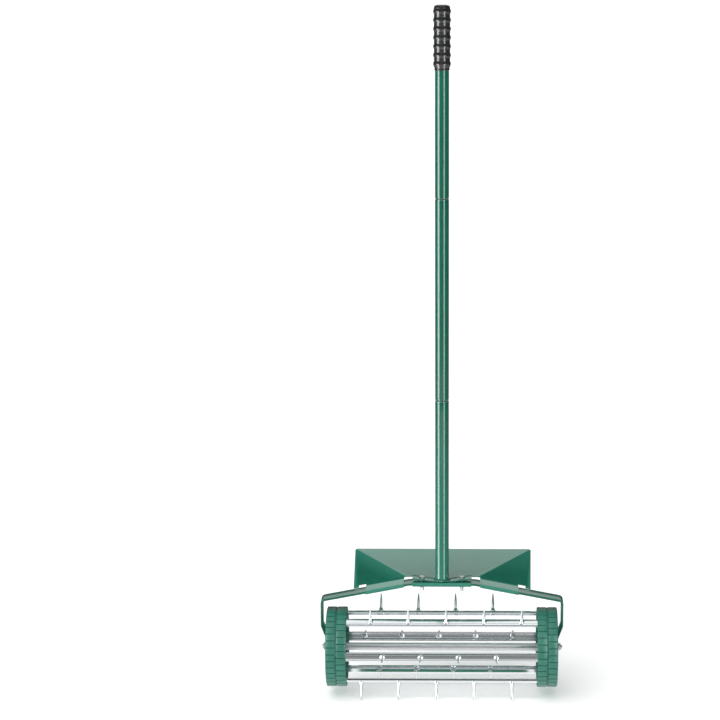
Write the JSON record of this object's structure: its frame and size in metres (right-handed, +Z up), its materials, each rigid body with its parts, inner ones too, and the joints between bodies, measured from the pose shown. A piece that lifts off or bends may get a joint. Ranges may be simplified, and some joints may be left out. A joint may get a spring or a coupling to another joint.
{
  "type": "rolling lawn aerator",
  "caption": "Rolling lawn aerator with a spiked drum between two treaded wheels, a bent yoke, a folded fender and a sectioned tube handle with a ribbed grip.",
  "frame": {"origin": "on the ground, under the middle of the whole object's footprint, with the handle upright and two rows of tines standing on the ground", "axes": "+X along the axle to the right, +Y to the back, where the fender reaches out, +Z up along the handle"},
  "size_m": [0.457, 0.27, 1.293],
  "materials": {
    "green_paint": "green powder coat, semi-gloss with a fine texture",
    "wheel_plastic": "moulded green plastic, satin",
    "zinc_sheet": "bright zinc plate with faint rolling lines",
    "zinc_tube": "bright zinc plate",
    "zinc_tine": "zinc plate, slightly duller than the bars",
    "zinc_fastener": "bright zinc plate",
    "grip_rubber": "glossy black moulded rubber"
  },
  "bodies": {
    "frame": {"yoke": "green_paint", "fender": "green_paint", "foot_plate": "green_paint", "foot_weld": "green_paint", "foot_bolts": "zinc_fastener", "foot_washers": "zinc_fastener", "foot_nuts": "zinc_fastener", "lower_tube": "green_paint", "middle_tube": "green_paint", "upper_tube": "green_paint", "grip": "grip_rubber", "axle_rod": "zinc_fastener", "axle_washers": "zinc_fastener", "axle_nuts": "zinc_fastener", "thrust_washers": "zinc_fastener"},
    "drum": {"axle_tube": "zinc_tube", "wheel_left": "wheel_plastic", "wheel_right": "wheel_plastic", "tine_bar_1": "zinc_sheet", "tine_bar_2": "zinc_sheet", "tine_bar_3": "zinc_sheet", "tine_bar_4": "zinc_sheet", "tine_bar_5": "zinc_sheet", "tine_bar_6": "zinc_sheet", "tines_1": "zinc_tine", "tines_2": "zinc_tine", "tines_3": "zinc_tine", "tines_4": "zinc_tine", "tines_5": "zinc_tine", "tines_6": "zinc_tine", "tine_collars": "zinc_tine"}
  },
  "joints": [
    {"name": "drum_spin", "type": "hinge", "parent": "frame", "child": "drum", "pos_m": [0, -0.031, 0.09027], "axis": [1, 0, 0], "continuous": true}
  ]
}
